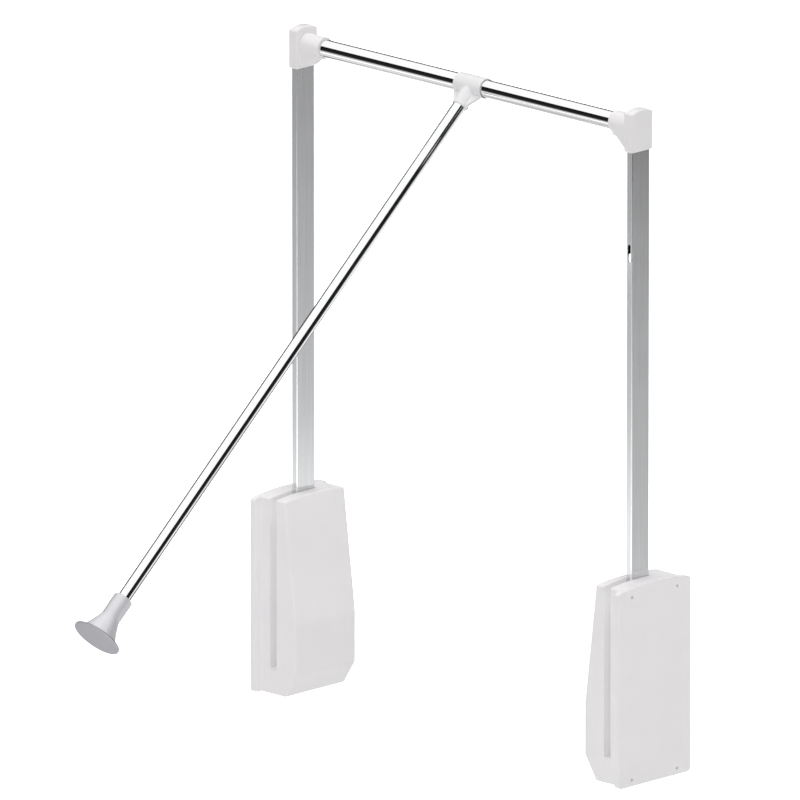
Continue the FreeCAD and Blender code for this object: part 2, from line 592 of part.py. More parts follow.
def damper_body():
    """Rotary damper's cup on the inner cheek, with two dams inside and two ears."""
    inner_r = DAMPER_R - DAMPER_WALL
    floor_x = DAMPER_X0 + DAMPER_FLOOR
    cup = x_bar(DAMPER_R, DAMPER_X0, DAMPER_X1, 0.0, PIVOT_Z)
    ears = [x_bar(DAMPER_EAR_R, DAMPER_X0, floor_x, 0.0, z) for z in damper_ear_heights()]
    straps = box((DAMPER_X0, floor_x), (-DAMPER_EAR_R, DAMPER_EAR_R), damper_ear_heights())
    cup = join(cup, straps, *ears)
    cup = cup.cut(x_bar(inner_r, floor_x, DAMPER_X1 + THROUGH, 0.0, PIVOT_Z))
    cup = cup.cut(x_bar(BUSH_FLANGE_R + MOVING_GAP, DAMPER_X0 - THROUGH, floor_x + THROUGH, 0.0, PIVOT_Z))
    dam_bar = box((floor_x - THROUGH, DAMPER_X1), (-inner_r - THROUGH, inner_r + THROUGH),
                  (PIVOT_Z - DAMPER_VANE / 2.0, PIVOT_Z + DAMPER_VANE / 2.0))
    dam_bar.rotate(V(0, 0, PIVOT_Z), X_AXIS, 45.0)
    room_x = (floor_x - THROUGH, DAMPER_X1)
    ring_room = x_bar(inner_r + THROUGH, room_x[0], room_x[1], 0.0, PIVOT_Z)
    for radius, end in ((DAMPER_ROTOR_R, DAMPER_X1 + THROUGH), (BUSH_FLANGE_R, floor_x)):
        ring_room = ring_room.cut(x_bar(radius + MOVING_GAP, room_x[0] - THROUGH, end, 0.0, PIVOT_Z))
    cup = join(cup, dam_bar.common(ring_room))
    for z in damper_ear_heights():
        cup = cup.cut(x_bar(SCREW_R, DAMPER_X0 - THROUGH, floor_x + THROUGH, 0.0, z))
    return cup


def damper_lid():
    """Lid of the damper."""
    lid = x_bar(DAMPER_R, DAMPER_X1, DAMPER_X1 + DAMPER_LID, 0.0, PIVOT_Z)
    return lid.cut(x_bar(AXLE_R + MOVING_GAP, DAMPER_X1 - THROUGH, DAMPER_X1 + DAMPER_LID + THROUGH, 0.0,
                         PIVOT_Z))


def damper_screws():
    """Two screws through the damper's ears into the cheek."""
    seat = DAMPER_X0 + DAMPER_FLOOR
    return Part.makeCompound([screw_x(CHEEK_B0, seat, 0.0, z) for z in damper_ear_heights()])


def damper_rotor():
    """Rotor with two vanes, keyed on the axle, that turns between the dams."""
    x0 = DAMPER_X0 + DAMPER_FLOOR + MOVING_GAP
    x1 = DAMPER_X1 - MOVING_GAP
    reach = DAMPER_R - DAMPER_WALL - MOVING_GAP
    vanes = box((x0, x1), (-reach, reach), (PIVOT_Z - DAMPER_VANE / 2.0, PIVOT_Z + DAMPER_VANE / 2.0))
    vanes = vanes.common(x_bar(reach, x0, x1, 0.0, PIVOT_Z))
    vanes.rotate(V(0, 0, PIVOT_Z), X_AXIS, 45.0 + (180.0 - ARM_RANGE_DEG) / 2.0)
    rotor = join(x_bar(DAMPER_ROTOR_R, x0, x1, 0.0, PIVOT_Z), vanes)
    bore = double_d(AXLE_R + FIXED_FIT, AXLE_FLATS + 2.0 * FIXED_FIT, x0 - THROUGH, x1 + THROUGH, 0.0,
                    PIVOT_Z)
    return rotor.cut(bore)


# ---- arm, corner cap and rail -------------------------------------------------------------------
def arm_form(inset, top_z):
    """Solid form of the arm, or of the room inside it, with its round lower end."""
    x0, x1 = ARM_X0 + inset, ARM_X1 - inset
    half = ARM_WIDTH / 2.0 - inset
    return join(box((x0, x1), (-half, half), (PIVOT_Z, top_z)), x_bar(half, x0, x1, 0.0, PIVOT_Z))


def axle_bore(clearance):
    """Keyed bore for the axle through the arm."""
    return double_d(AXLE_R + clearance, AXLE_FLATS + 2.0 * clearance, ARM_X0 - THROUGH, ARM_X1 + THROUGH, 0.0,
                    PIVOT_Z)


def arm_rivet_heights():
    """Heights of the two rivets in the arm's lower end."""
    first = PIVOT_Z + ARM_WIDTH / 2.0 + ARM_RIVET_PITCH / 2.0
    return (first, first + ARM_RIVET_PITCH)


def long_hole(start, end, width, length):
    """Upright oblong cutter with round ends, between two points at its middle height."""
    half, reach = width / 2.0, (length - width) / 2.0
    grow = V(half if start.x == end.x else 0.0, half if start.y == end.y else 0.0, reach)
    low = V(min(start.x, end.x), min(start.y, end.y), start.z) - grow
    high = V(max(start.x, end.x), max(start.y, end.y), start.z) + grow
    ends = [bar(half, start + V(0, 0, rise), end + V(0, 0, rise)) for rise in (-reach, reach)]
    return join(box((low.x, high.x), (low.y, high.y), (low.z, high.z)), *ends)


def swing_arm(slotted):
    """Flat metal tube; the slotted one has oblong holes in its front edge and its inner face."""
    top_z = CAP_BOTTOM + CAP_HEIGHT - CAP_TOP_WALL - FIXED_FIT
    arm = arm_form(0.0, top_z)
    long_edges = edges_where(arm, lambda b: b.ZLength > ARM_RADIUS / 2.0)
    arm = arm.makeFillet(ARM_EDGE_R, long_edges)
    arm = arm.cut(arm_form(ARM_WALL, top_z + THROUGH))
    arm = arm.cut(axle_bore(FIXED_FIT))
    for z in arm_rivet_heights():
        arm = arm.cut(x_bar(ARM_RIVET_R, ARM_X0 - THROUGH, ARM_X1 + THROUGH, 0.0, z))
    arm = arm.cut(bar(SCREW_R, V(ARM_CENTRE_X, 0, cap_screw_height()),
                      V(ARM_CENTRE_X, ARM_WIDTH, cap_screw_height())))
    if slotted:
        slot_z = CAP_BOTTOM - ARM_SLOT_DROP
        side_y, side_z = ARM_SIDE_HOLE_INSET - ARM_WIDTH / 2.0, slot_z - ARM_SIDE_HOLE_DROP
        slot = long_hole(V(ARM_CENTRE_X, -ARM_WIDTH, slot_z), V(ARM_CENTRE_X, -ARM_WIDTH / 4.0, slot_z),
                         ARM_SLOT_WIDTH, ARM_SLOT_LENGTH)
        side_hole = long_hole(V(ARM_CENTRE_X, side_y, side_z), V(ARM_X1 + THROUGH, side_y, side_z),
                              ARM_SIDE_HOLE_WIDTH, ARM_SIDE_HOLE_LENGTH)
        arm = arm.cut(slot).cut(side_hole)
    return arm


def arm_insert():
    """Solid block in the arm's lower end that carries the axle."""
    insert = arm_form(ARM_WALL + FIXED_FIT, PIVOT_Z + ARM_INSERT_LENGTH)
    insert = insert.cut(axle_bore(FIXED_FIT))
    for z in arm_rivet_heights():
        insert = insert.cut(x_bar(ARM_RIVET_R, ARM_X0, ARM_X1, 0.0, z))
    return insert


def arm_rivets():
    """Two flush rivets through the arm and its insert."""
    return Part.makeCompound([x_bar(ARM_RIVET_R, ARM_X0, ARM_X1, 0.0, z) for z in arm_rivet_heights()])


def cap_screw_height():
    """Height of the screw that holds the cap to the arm."""
    return CAP_BOTTOM + CAP_HEIGHT * 0.28


def cap_gusset():
    """Curved web under the boss, nearly as deep as the boss, that runs down to the cap's lower end."""
    high = RAIL_Z - BOSS_R - GUSSET_DROP
    drop = high - CAP_BOTTOM - CAP_EDGE_R
    start = V(CAP_INNER_X, -GUSSET_WIDTH / 2.0, high - drop)
    curve = [start] + [V(CAP_INNER_X + GUSSET_REACH * along, start.y, high - drop * share)
                       for along, share in GUSSET_CURVE]
    spline = Part.BSplineCurve()
    spline.interpolate(curve)
    outer_top = V(curve[-1].x, start.y, RAIL_Z)
    inner_top = V(ARM_CENTRE_X, start.y, RAIL_Z)
    inner_low = V(ARM_CENTRE_X, start.y, start.z)
    outline = [spline.toShape(), Part.makeLine(curve[-1], outer_top), Part.makeLine(outer_top, inner_top),
               Part.makeLine(inner_top, inner_low), Part.makeLine(inner_low, start)]
    gusset = Part.Face(Part.Wire(outline)).extrude(V(0, GUSSET_WIDTH, 0))
    curved = edges_where(gusset, lambda b: b.XLength > GUSSET_REACH * 0.9 and b.ZMax < RAIL_Z - THROUGH)
    return gusset.makeFillet(GUSSET_EDGE_R, curved)


def corner_cap():
    """Moulded corner: pocket for the arm, boss for the rail and a gusset under the boss."""
    x0, x1 = ARM_CENTRE_X - CAP_THICKNESS / 2.0, CAP_INNER_X
    half = CAP_DEPTH / 2.0
    top = CAP_BOTTOM + CAP_HEIGHT
    corners = [V(x0, -half, top), V(x0, -half, CAP_BOTTOM), V(x0, half, CAP_BOTTOM), V(x0, half, top)]
    arch = Part.Arc(corners[3], V(x0, 0, top + CAP_CROWN), corners[0]).toShape()
    lines = [Part.makeLine(corners[i], corners[i + 1]) for i in range(3)]
    body = Part.Face(Part.Wire(lines + [arch])).extrude(V(x1 - x0, 0, 0))
    body = body.makeFillet(CAP_EDGE_R, body.Edges)
    boss = x_bar(BOSS_R, ARM_CENTRE_X, BOSS_END_X, 0.0, RAIL_Z)
    boss = boss.makeFillet(BOSS_EDGE_R, edges_where(boss, lambda b: b.XMin > BOSS_END_X - 0.01))
    cap = join(body, boss, cap_gusset())
    cap = cap.cut(x_bar(RAIL_R + FIXED_FIT, CAP_INNER_X + BOSS_FLOOR, BOSS_END_X + THROUGH, 0.0, RAIL_Z))
    pocket = box((ARM_X0 - FIXED_FIT, ARM_X1 + FIXED_FIT),
                 (-ARM_WIDTH / 2.0 - FIXED_FIT, ARM_WIDTH / 2.0 + FIXED_FIT),
                 (CAP_BOTTOM - THROUGH, top - CAP_TOP_WALL))
    cap = cap.cut(pocket)
    for x, z in cap_screw_places():
        cap = cap.cut(bar(SCREW_R, V(x, 0, z), V(x, CAP_DEPTH, z)))
    return cap


def cap_screw_places():
    """Where the cap's two rear screws go, as (x, z): into the arm and into the rail."""
    return ((ARM_CENTRE_X, cap_screw_height()), (CAP_INNER_X + BOSS_LENGTH / 2.0, RAIL_Z))


def cap_screws():
    """Two screws on the rear of the corner cap."""
    arm_place, rail_place = cap_screw_places()
    arm_screw = screw_y(ARM_WIDTH / 2.0 - ARM_WALL - SCREW_END, CAP_DEPTH / 2.0, arm_place[0], arm_place[1])
    rail_screw = screw_y(RAIL_BORE_R - SCREW_END, BOSS_R, rail_place[0], rail_place[1])
    return Part.makeCompound([arm_screw, rail_screw])


def rail_screw_hole(tube):
    """Outer rail tube with its cap screw's hole."""
    place = cap_screw_places()[1]
    return tube.cut(bar(SCREW_R, V(place[0], 0, place[1]), V(place[0], CAP_DEPTH, place[1])))


def rail_tube_left():
    """Outer rail tube from the left cap into the T, with the T's swivel slot at its end."""
    x0, x1 = CAP_INNER_X + BOSS_FLOOR + FIXED_FIT, RAIL_JOINT_X - RAIL_JOINT_GAP / 2.0
    tube = sleeve(x0, x1, RAIL_R, RAIL_BORE_R)
    half = SCREW_R + MOVING_GAP
    margin = math.degrees(half / RAIL_BORE_R) + 1.0
    start = rod_angle() + 90.0 - PULL_ROD_UP_DEG - margin
    sweep = PULL_ROD_UP_DEG + PULL_ROD_DOWN_DEG + 2.0 * margin
    slot = Part.makeCylinder(RAIL_R + THROUGH, 2.0 * half, V(0, 0, 0), V(0, 0, 1), sweep)
    slot.rotate(V(0, 0, 0), V(0, 0, 1), start)
    slot.rotate(V(0, 0, 0), V(1, 1, 1), 120.0)
    slot.translate(V(t_screw_x() - half, 0, RAIL_Z))
    return rail_screw_hole(tube.cut(slot))


def rail_tube_right():
    """Outer rail tube from the T to the right cap, in the left side's mirrored frame."""
    x0 = CAP_INNER_X + BOSS_FLOOR + FIXED_FIT
    x1 = RAIL_SPAN - RAIL_JOINT_X - RAIL_JOINT_GAP / 2.0
    tube = sleeve(x0, x1, RAIL_R, RAIL_BORE_R)
    return rail_screw_hole(tube).cut(rail_rivet_hole(RAIL_SPAN - rail_rivet_x()))


def rail_rivet_x():
    """Where the inner tube is riveted into the right tube."""
    return RAIL_JOINT_X + RAIL_FIXED_LENGTH * 0.7


def rail_rivet_hole(x):
    """Hole for the rail rivet, in the rear of the tubes."""
    return bar(SCREW_R, V(x, 0, RAIL_Z), V(x, RAIL_R + THROUGH, RAIL_Z))


def rail_joint_rivet():
    """Rivet on the rear of the right tube."""
    x = rail_rivet_x()
    shank = bar(SCREW_R, V(x, RAIL_INNER_R - RAIL_INNER_WALL, RAIL_Z), V(x, RAIL_R, RAIL_Z))
    head = bar(SCREW_HEAD_R, V(x, RAIL_R - RAIL_RIVET_START, RAIL_Z),
               V(x, RAIL_R + RAIL_RIVET_HEAD, RAIL_Z))
    seat = x_bar(RAIL_R, x - CAP_DEPTH, x + CAP_DEPTH, 0.0, RAIL_Z)
    return join(shank, head.cut(seat))


def rail_tube_inner():
    """Thinner tube that telescopes in the left tube and is fixed in the right one."""
    x0 = RAIL_JOINT_X - WIDTH_TRAVEL - RAIL_OVERLAP
    x1 = RAIL_JOINT_X + RAIL_FIXED_LENGTH
    tube = sleeve(x0, x1, RAIL_INNER_R, RAIL_INNER_R - RAIL_INNER_WALL)
    return tube.cut(rail_rivet_hole(rail_rivet_x()))


def sleeve(x0, x1, outer, inner):
    """Tube or sleeve about the rail's axis."""
    return x_bar(outer, x0, x1, 0.0, RAIL_Z).cut(x_bar(inner, x0 - THROUGH, x1 + THROUGH, 0.0, RAIL_Z))


def rail_guide_bush():
    """Bush in the mouth of the left tube that the inner tube slides through."""
    x1 = RAIL_JOINT_X - RAIL_JOINT_GAP / 2.0
    return sleeve(x1 - BUSH_LENGTH, x1, RAIL_BORE_R - FIXED_FIT / 2.0, RAIL_INNER_R + RUNNING_FIT)


def rail_end_glide():
    """Glide on the inner tube's end that runs in the left tube."""
    x0 = RAIL_JOINT_X - WIDTH_TRAVEL - RAIL_OVERLAP
    return sleeve(x0, x0 + BUSH_LENGTH, RAIL_BORE_R - RUNNING_FIT, RAIL_INNER_R + FIXED_FIT / 2.0)


def rail_fixed_sleeve():
    """Sleeve that centres the inner tube in the right tube."""
    x0 = RAIL_JOINT_X + RAIL_JOINT_GAP / 2.0
    band = sleeve(x0, RAIL_JOINT_X + RAIL_FIXED_LENGTH, RAIL_BORE_R - FIXED_FIT / 2.0,
                  RAIL_INNER_R + FIXED_FIT / 2.0)
    return band.cut(rail_rivet_hole(rail_rivet_x()))


# ---- T connector, pull rod and knob -------------------------------------------------------------
# They are made hanging straight down and then swung about the rail to where they rest.
def rod_angle():
    """Swing about the rail from hanging down to the rest place."""
    return PULL_ROD_BELOW_HORIZONTAL_DEG - 90.0


def swing(shape):
    """Piece of the pull rod, moved from hanging to its rest place."""
    moved = shape.copy()
    moved.rotate(V(T_CENTRE_X, 0, RAIL_Z), X_AXIS, rod_angle())
    return moved


def down(distance, x=0.0, y=0.0):
    """Point below the rail axis at the T's middle."""
    return V(T_CENTRE_X + x, y, RAIL_Z - distance)


def t_screw_x():
    """Where the T's swivel screw goes along the rail."""
    return T_CENTRE_X - T_LENGTH / 4.0


def t_connector():
    """T on the rail: barrel, rod socket and a web on each side of the socket."""
    half = T_LENGTH / 2.0
    x0, x1 = T_CENTRE_X - half, T_CENTRE_X + half
    barrel = x_bar(T_R, x0, x1, 0.0, RAIL_Z)
    barrel = barrel.makeFillet(T_EDGE_R, edges_where(barrel, lambda b: b.XLength < 0.01))
    socket = bar(T_SOCKET_R, down(0.0), down(T_SOCKET_REACH))
    low = RAIL_Z - T_SOCKET_REACH + T_WEB_INSET
    high = RAIL_Z - T_R + T_WEB_INSET
    near, far = x0 + T_WEB_INSET, x1 - T_WEB_INSET
    web = plate_y([(near, high), (near, high - T_WEB_STEP), (T_CENTRE_X - T_SOCKET_R, low),
                   (T_CENTRE_X + T_SOCKET_R, low), (far, high - T_WEB_STEP), (far, high)],
                  -T_WEB_THICKNESS / 2.0, T_WEB_THICKNESS / 2.0)
    tee = join(barrel, socket, web)
    tee = tee.cut(bar(PULL_ROD_R + FIXED_FIT, down(T_R + T_FLOOR), down(T_SOCKET_REACH + THROUGH)))
    tee = tee.cut(x_bar(RAIL_R + RUNNING_FIT, x0 - THROUGH, x1 + THROUGH, 0.0, RAIL_Z))
    mouth_start = RAIL_JOINT_X - RAIL_JOINT_GAP
    tee = tee.cut(x_bar(RAIL_R + T_RIGHT_MOUTH_GAP, mouth_start, x1 + THROUGH, 0.0, RAIL_Z))
    tee = tee.cut(bar(SCREW_R, V(t_screw_x(), 0, RAIL_Z), V(t_screw_x(), 0, RAIL_Z + T_R + THROUGH)))
    tee = tee.cut(bar(SCREW_R, down(rod_screw_reach()), down(rod_screw_reach(), 0.0, T_R)))
    return swing(tee)


def rod_screw_reach():
    """Where the screw in the T's socket goes, from the rail axis."""
    return T_SOCKET_REACH - SCREW_HEAD_R - ROD_SCREW_INSET


def t_screw():
    """Headless swivel screw: it ends in the left tube's slot and keeps the T from sliding."""
    low = V(t_screw_x(), 0, RAIL_Z + RAIL_BORE_R + MOVING_GAP)
    high = V(t_screw_x(), 0, RAIL_Z + T_R - T_SCREW_INSET)
    recess = bar(T_SCREW_RECESS_R, (low + high) / 2.0, high + V(0, 0, THROUGH))
    return swing(bar(SCREW_R, low, high).cut(recess))


def rod_screws():
    """Screws that hold the rod in the T's socket and in the knob's neck."""
    tip = PULL_ROD_R - PULL_ROD_WALL - SCREW_END
    upper = screw_y(tip, T_SOCKET_R, T_CENTRE_X, RAIL_Z - rod_screw_reach())
    lower = screw_y(tip, KNOB_NECK_R, T_CENTRE_X, RAIL_Z - knob_screw_reach())
    return Part.makeCompound([swing(upper), swing(lower)])


def knob_screw_reach():
    """Where the knob's screw goes, from the rail axis."""
    return KNOB_START + KNOB_SOCKET_DEPTH / 2.0


def pull_rod():
    """Long chromed tube from the T's socket to the knob."""
    start, end = T_R + T_FLOOR + FIXED_FIT, KNOB_START + KNOB_SOCKET_DEPTH - FIXED_FIT
    tube = bar(PULL_ROD_R, down(start), down(end))
    tube = tube.cut(bar(PULL_ROD_R - PULL_ROD_WALL, down(start - THROUGH), down(end + THROUGH)))
    for reach in (rod_screw_reach(), knob_screw_reach()):
        tube = tube.cut(bar(SCREW_R, down(reach), down(reach, 0.0, T_R)))
    return swing(tube)


def pull_knob():
    """Trumpet-shaped knob: neck, flare and a thin disc that closes it."""
    flare_start = KNOB_START + KNOB_NECK_LENGTH
    disc_start = PULL_ROD_REACH - KNOB_DISC
    growth = KNOB_FLARE_R - KNOB_NECK_R
    profile = [V(KNOB_NECK_R, 0, -flare_start)]
    profile += [V(KNOB_NECK_R + growth * share, 0, -flare_start - (disc_start - flare_start) * along)
                for along, share in KNOB_FLARE_CURVE]
    flare = Part.BSplineCurve()
    flare.interpolate(profile)
    neck_top = [V(0, 0, -KNOB_START), V(KNOB_NECK_R - KNOB_NECK_CHAMFER, 0, -KNOB_START),
                V(KNOB_NECK_R, 0, -KNOB_START - KNOB_NECK_CHAMFER), profile[0]]
    outline = [Part.makeLine(neck_top[i], neck_top[i + 1]) for i in range(3)]
    end = V(profile[-1].x, 0, -disc_start - THROUGH)
    outline += [flare.toShape(), Part.makeLine(profile[-1], end)]
    outline += [Part.makeLine(end, V(0, 0, end.z)), Part.makeLine(V(0, 0, end.z), neck_top[0])]
    knob = Part.Face(Part.Wire(outline)).revolve(V(0, 0, 0), V(0, 0, 1), 360.0)
    knob.translate(V(T_CENTRE_X, 0, RAIL_Z))
    disc = bar(KNOB_DISC_R, down(disc_start), down(PULL_ROD_REACH))
    disc = disc.makeFillet(KNOB_DISC_EDGE_R, edges_where(disc, lambda b: b.ZLength < 0.01))
    knob = join(knob, disc)
    knob = knob.cut(bar(PULL_ROD_R + FIXED_FIT, down(KNOB_START - THROUGH),
                        down(KNOB_START + KNOB_SOCKET_DEPTH)))
    knob = knob.cut(bar(SCREW_R, down(knob_screw_reach()), down(knob_screw_reach(), 0.0, KNOB_DISC_R)))
    return swing(knob)


# ---- every node ---------------------------------------------------------------------------------
def side_pieces(side):
    """Pieces that each side has, made for the left side."""
    return {
        "base_plate": base_plate(), "housing_shell": housing_shell(), "chassis_channel": chassis_channel(),
        "chassis_screws": chassis_screws(), "pivot_bushes": pivot_bushes(), "stop_buffers": stop_buffers(),
        "spring_guides": spring_guides(), "return_springs": return_springs(), "drive_gear": drive_gear(),
        "rack_carriage": rack_carriage(), "pivot_axle": pivot_axle(), "axle_rings": axle_rings(),
        "damper_body": damper_body(), "damper_lid": damper_lid(), "damper_screws": damper_screws(),
        "damper_rotor": damper_rotor(), "swing_arm": swing_arm(side == "right"), "arm_insert": arm_insert(),
        "arm_rivets": arm_rivets(), "corner_cap": corner_cap(), "cap_screws": cap_screws(),
    }


def all_pieces():
    """Every node's name and shape, in its place."""
    nodes = {}
    mirror_at = V(RAIL_SPAN / 2.0, 0, 0)
    for side in ("left", "right"):
        for name, shape in side_pieces(side).items():
            placed = shape if side == "left" else shape.mirror(mirror_at, X_AXIS)
            nodes[name + "_" + side] = placed
    nodes["rail_tube_left"] = rail_tube_left()
    nodes["rail_tube_right"] = rail_tube_right().mirror(mirror_at, X_AXIS)
    nodes["rail_tube_inner"] = rail_tube_inner()
    nodes["rail_guide_bush"] = rail_guide_bush()
    nodes["rail_end_glide"] = rail_end_glide()
    nodes["rail_fixed_sleeve"] = rail_fixed_sleeve()
    nodes["rail_joint_rivet"] = rail_joint_rivet()
    nodes["t_connector"] = t_connector()
    nodes["t_screw"] = t_screw()
    nodes["pull_rod"] = pull_rod()
    nodes["rod_screws"] = rod_screws()
    nodes["pull_knob"] = pull_knob()
    return nodes


os.makedirs("parts", exist_ok=True)
for node_name, node_shape in all_pieces().items():
    node_shape.exportStep(os.path.join("parts", node_name + ".step"))
    print(node_name, len(node_shape.Solids), round(node_shape.Volume, 1), node_shape.isValid())
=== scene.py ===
import math

import bpy
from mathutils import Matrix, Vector


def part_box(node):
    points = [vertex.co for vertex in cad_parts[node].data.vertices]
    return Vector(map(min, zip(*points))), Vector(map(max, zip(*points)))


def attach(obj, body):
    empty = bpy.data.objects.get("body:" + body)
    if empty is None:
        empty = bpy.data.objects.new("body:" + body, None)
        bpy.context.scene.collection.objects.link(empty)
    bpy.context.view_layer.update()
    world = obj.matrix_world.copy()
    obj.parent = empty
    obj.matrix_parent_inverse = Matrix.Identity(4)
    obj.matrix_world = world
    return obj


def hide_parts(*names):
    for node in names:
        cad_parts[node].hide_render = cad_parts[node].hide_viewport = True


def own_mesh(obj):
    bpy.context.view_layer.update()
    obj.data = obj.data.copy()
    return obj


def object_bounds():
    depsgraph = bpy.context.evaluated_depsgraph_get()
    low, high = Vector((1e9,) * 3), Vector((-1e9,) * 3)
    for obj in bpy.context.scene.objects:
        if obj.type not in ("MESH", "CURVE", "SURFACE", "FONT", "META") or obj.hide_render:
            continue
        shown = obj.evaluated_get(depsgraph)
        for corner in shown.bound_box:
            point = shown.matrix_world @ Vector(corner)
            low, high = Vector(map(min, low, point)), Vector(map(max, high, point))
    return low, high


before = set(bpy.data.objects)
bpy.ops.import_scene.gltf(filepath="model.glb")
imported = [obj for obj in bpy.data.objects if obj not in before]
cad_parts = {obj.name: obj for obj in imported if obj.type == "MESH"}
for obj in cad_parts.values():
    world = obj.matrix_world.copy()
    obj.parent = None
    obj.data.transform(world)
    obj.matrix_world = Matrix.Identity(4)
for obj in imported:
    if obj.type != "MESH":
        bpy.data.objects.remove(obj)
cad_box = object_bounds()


# ---- base plates and shells ---------------------------------------------------------------------
# Each housing is a flat tray against the wardrobe's side and a bulged cover that snaps on to it.
# Both are injection moulded ABS with a fine spark-eroded grain, so they are pale, even and only
# softly shiny, and their edges are painted a little paler as a painted highlight.
GRAIN = 0.0014               # spark-eroded grain, drawn about four times as coarse so that it shows
CLOUD = 0.05                 # slow unevenness of the moulding
EDGE = 0.0012                # width of the painted highlight along the edges
EDGE_TURN = (0.995, 0.85)    # cosine of the turn at which an edge starts to get its painted highlight, and gets it wholly
MOST = (0.3, 0.7)            # nearly all of a noise lies between these


def linear(code):
    """sRGB hex code as a linear colour with alpha."""
    parts = [int(code[i:i + 2], 16) / 255.0 for i in (1, 3, 5)]
    return [c / 12.92 if c <= 0.04045 else ((c + 0.055) / 1.055) ** 2.4 for c in parts] + [1.0]


def feed(node, inputs):
    """Sets a node's sockets to values, or links them to the outputs that feed them."""
    for name, value in inputs.items():
        if isinstance(value, bpy.types.NodeSocket):
            node.id_data.links.new(value, node.inputs[name])
        else:
            node.inputs[name].default_value = value


def add(tree, kind, inputs=None, **settings):
    """Adds a node to a tree."""
    node = tree.nodes.new("ShaderNode" + kind)
    for name, value in settings.items():
        setattr(node, name, value)
    feed(node, inputs or {})
    return node


def new_material(name):
    """New material, its node tree and the shader of its surface."""
    material = bpy.data.materials.new(name)
    material.use_nodes = True
    return material, material.node_tree, material.node_tree.nodes["Principled BSDF"]


def give(material, *nodes):
    """Puts a material on these CAD nodes."""
    for name in nodes:
        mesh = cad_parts[name].data
        mesh.materials.clear()
        mesh.materials.append(material)


def both(*names):
    """Node names of a piece that each side has."""
    return [name + side for name in names for side in ("_left", "_right")]


def moulded_plastic(name, colour, highlight_colour, roughness, grain_depth):
    """Injection moulded ABS: slow unevenness, fine grain and a painted highlight along the edges."""
    material, tree, shader = new_material(name)
    place = add(tree, "TexCoord").outputs["Object"]
    cloud = add(tree, "TexNoise", {"Vector": place, "Scale": 1.0 / CLOUD, "Detail": 3.0})
    grain = add(tree, "TexNoise", {"Vector": place, "Scale": 1.0 / GRAIN, "Detail": 2.0})
    flat = add(tree, "NewGeometry").outputs["Normal"]
    bevel = add(tree, "Bevel", {"Radius": EDGE}, samples=4).outputs["Normal"]
    turn = add(tree, "VectorMath", {0: bevel, 1: flat}, operation="DOT_PRODUCT").outputs["Value"]
    edge = add(tree, "MapRange", {"Value": turn, "From Min": EDGE_TURN[0], "From Max": EDGE_TURN[1],
                                  "To Min": 0.0, "To Max": 1.0}).outputs["Result"]
    shade = add(tree, "MapRange", {"Value": cloud.outputs["Fac"], "From Min": MOST[0], "From Max": MOST[1],
                                   "To Min": 0.975, "To Max": 1.0})
    body = add(tree, "Mix", {"Factor": 1.0, "A": linear(colour), "B": shade.outputs["Result"]},
               data_type="RGBA", blend_type="MULTIPLY")
    # Painted highlight: edges are mixed towards the paler highlight colour.
    edge_highlighted = add(tree, "Mix", {"Factor": edge, "A": body.outputs["Result"], "B": linear(highlight_colour)},
               data_type="RGBA")
    gloss = add(tree, "MapRange", {"Value": cloud.outputs["Fac"], "From Min": MOST[0], "From Max": MOST[1],
                                   "To Min": roughness - 0.05, "To Max": roughness + 0.05})
    bump = add(tree, "Bump", {"Strength": 0.35, "Distance": grain_depth, "Height": grain.outputs["Fac"]})
    feed(shader, {"Base Color": edge_highlighted.outputs["Result"], "Roughness": gloss.outputs["Result"],
                  "Normal": bump.outputs["Normal"], "IOR": 1.53})
    return material


# The second colour is the painted highlight along the edges.
housing_abs = moulded_plastic("white_abs_spark_grained", "#E6E4E5", "#EAE8E9", 0.45, 0.00006)
give(housing_abs, *both("base_plate", "housing_shell"))


# ---- steel channel ------------------------------------------------------------------------------
# Folded steel sheet that the arm swings in, screwed to the tray. It is powder coated light grey,
# which leaves a faint orange peel, and only its inside shows, through the slot.
PEEL = 0.004                 # size of the orange peel dimples


def mottled(name, size, detail, dark, pale):
    """Material that goes from dark to pale in patches: itself, its tree and shader and how pale it is."""
    material, tree, shader = new_material(name)
    place = add(tree, "TexCoord").outputs["Object"]
    patches = add(tree, "TexNoise", {"Vector": place, "Scale": 1.0 / size, "Detail": detail}).outputs["Fac"]
    tint = add(tree, "ValToRGB", {"Fac": patches})
    tint.color_ramp.elements[0].color = linear(dark)
    tint.color_ramp.elements[1].color = linear(pale)
    feed(shader, {"Base Color": tint.outputs["Color"]})
    return material, tree, shader, patches


channel_coat, tree, shader, _ = mottled("steel_powder_coated_light_grey", CLOUD, 3.0, "#D2D1D2", "#DCDBDC")
place = add(tree, "TexCoord").outputs["Object"]
peel = add(tree, "TexNoise", {"Vector": place, "Scale": 1.0 / PEEL, "Detail": 1.0})
bump = add(tree, "Bump", {"Strength": 0.3, "Distance": 0.0001, "Height": peel.outputs["Fac"]})
feed(shader, {"Roughness": 0.5, "Normal": bump.outputs["Normal"]})
give(channel_coat, *both("chassis_channel"))


# ---- screws, rivets, axle and guides ------------------------------------------------------------
# Turned and cold headed steel, zinc plated bright: grey with a faint bloom and dark recesses. They
# hold the other pieces together or guide them, and most of them are hidden.
BLOOM = 0.003                # patches of the zinc's bloom

zinc, tree, shader, bloom = mottled("steel_zinc_plated", BLOOM, 4.0, "#A9ABAE", "#C9CACC")
gloss = add(tree, "MapRange", {"Value": bloom, "To Min": 0.22, "To Max": 0.42})
feed(shader, {"Metallic": 1.0, "Roughness": gloss.outputs["Result"]})
give(zinc, "t_screw", "rod_screws", "rail_joint_rivet",
     *both("chassis_screws", "damper_screws", "spring_guides", "pivot_axle", "arm_rivets", "cap_screws"))


